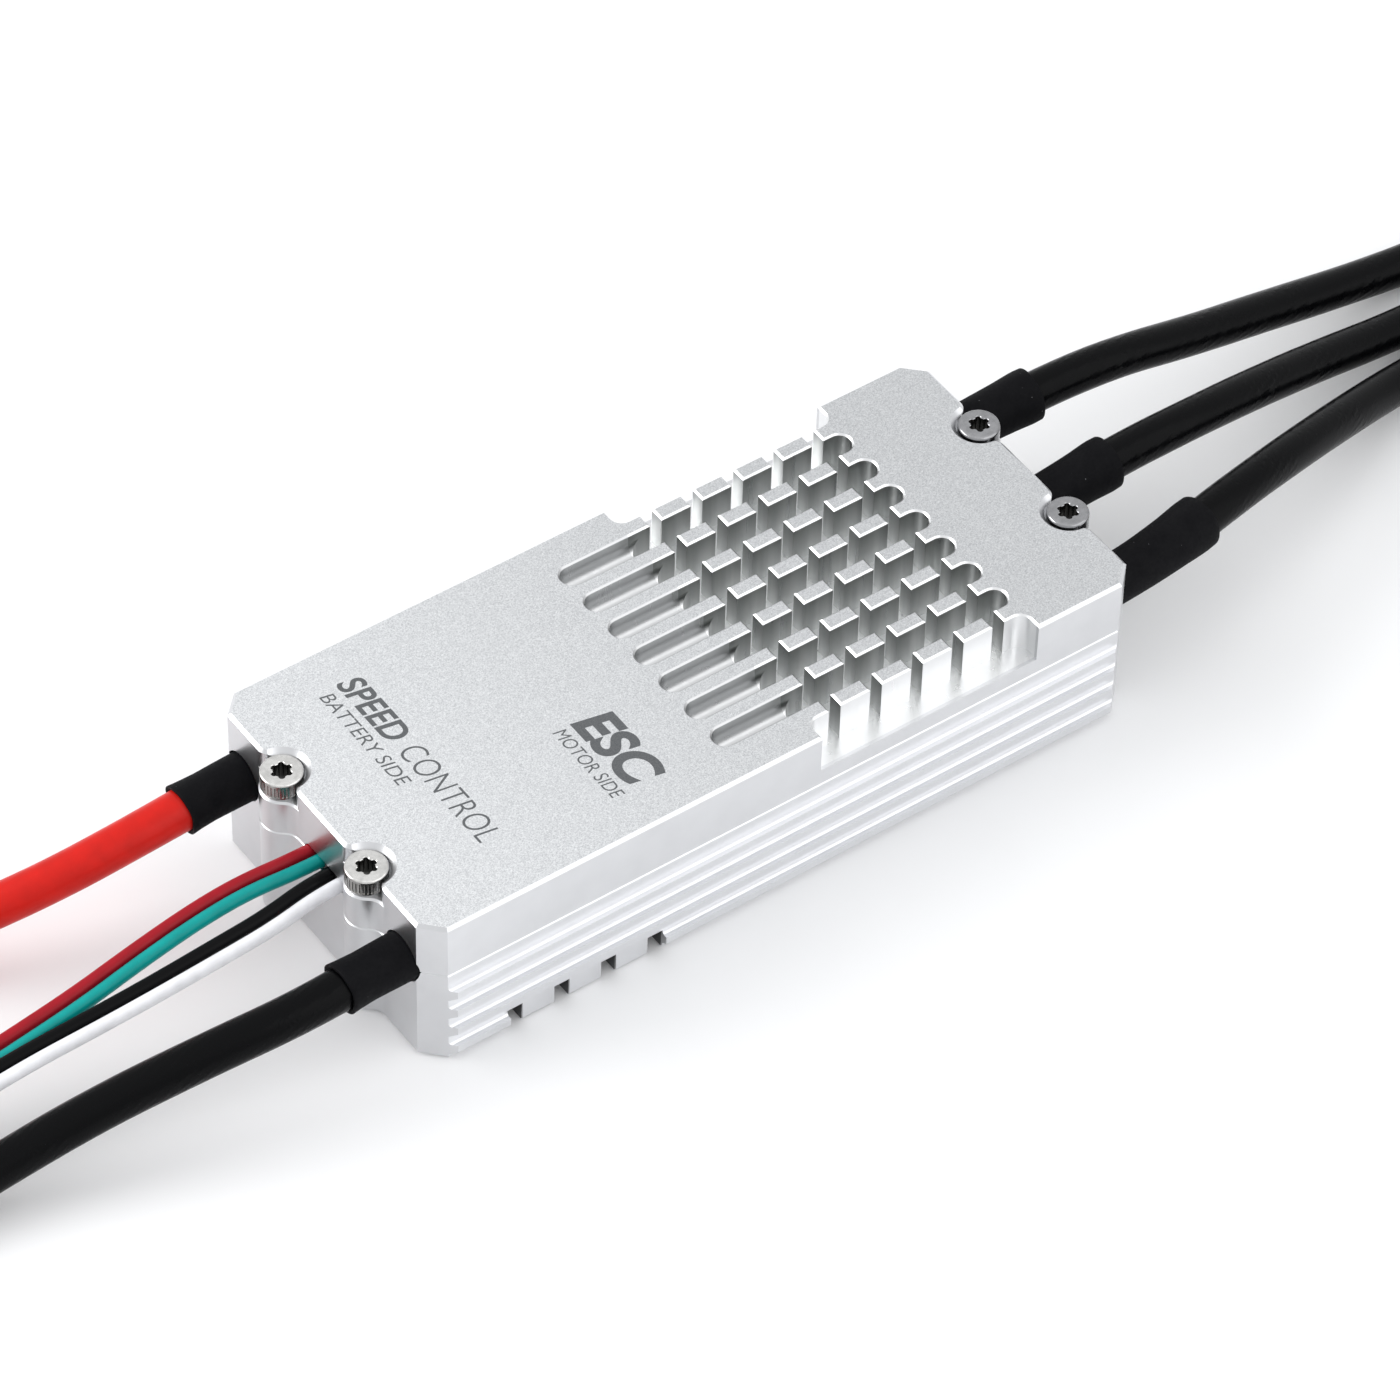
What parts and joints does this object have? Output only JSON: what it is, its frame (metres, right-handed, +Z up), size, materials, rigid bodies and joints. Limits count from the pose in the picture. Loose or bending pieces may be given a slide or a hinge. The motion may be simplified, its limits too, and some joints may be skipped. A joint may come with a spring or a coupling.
{
  "type": "electronic speed controller",
  "caption": "Brushless motor speed controller in a milled aluminium case with pin-fin heat sinks, battery leads and signal wires at one end and motor leads at the other.",
  "frame": {"origin": "centre of the case's flat bottom face", "axes": "+X towards the motor leads, -X towards the battery leads, +Z up out of the finned cover, +Y to the left when looking along +X"},
  "size_m": [0.2815, 0.0447, 0.0197],
  "materials": {
    "case_aluminium": "bead-blasted and silver anodised, machined edges bright",
    "stainless": "bright stainless steel",
    "heat_shrink": "matte black heat-shrink tubing",
    "wire_black": "satin black silicone insulation",
    "wire_red": "satin bright red silicone insulation",
    "signal_red": "satin dark red insulation",
    "signal_teal": "satin teal insulation",
    "signal_white": "satin white insulation",
    "tinned_copper": "solder-tinned copper strands",
    "copper": "bare copper bar",
    "board": "green solder mask on glass-epoxy laminate",
    "chip": "moulded black epoxy",
    "capacitor": "ceramic body",
    "thermal_pad": "soft grey-blue silicone pad",
    "seal": "black silicone",
    "plug_body": "natural white nylon"
  },
  "bodies": {
    "root": {"upper_shell": "case_aluminium", "lower_shell": "case_aluminium", "battery_end_screws": "stainless", "motor_end_screws": "stainless", "board_screws": "stainless", "power_board": "board", "control_board": "board", "power_mosfets": "chip", "gate_drivers": "chip", "microcontroller": "chip", "interface_chips": "chip", "regulator_inductor": "chip", "board_header": "chip", "current_shunts": "copper", "battery_bus_bars": "copper", "motor_solder_pads": "copper", "bus_capacitors": "capacitor", "thermal_pad_upper": "thermal_pad", "thermal_pad_lower": "thermal_pad", "battery_positive_sleeve": "heat_shrink", "battery_negative_sleeve": "heat_shrink", "motor_a_sleeve": "heat_shrink", "motor_b_sleeve": "heat_shrink", "motor_c_sleeve": "heat_shrink", "battery_positive_lead": "wire_red", "battery_negative_lead": "wire_black", "motor_a_lead": "wire_black", "motor_b_lead": "wire_black", "motor_c_lead": "wire_black", "signal_wire_red": "signal_red", "signal_wire_teal": "signal_teal", "signal_wire_black": "wire_black", "signal_wire_white": "signal_white", "battery_lead_tips": "tinned_copper", "motor_lead_tips": "tinned_copper", "signal_grommet": "seal", "signal_plug": "plug_body"}
  },
  "joints": []
}
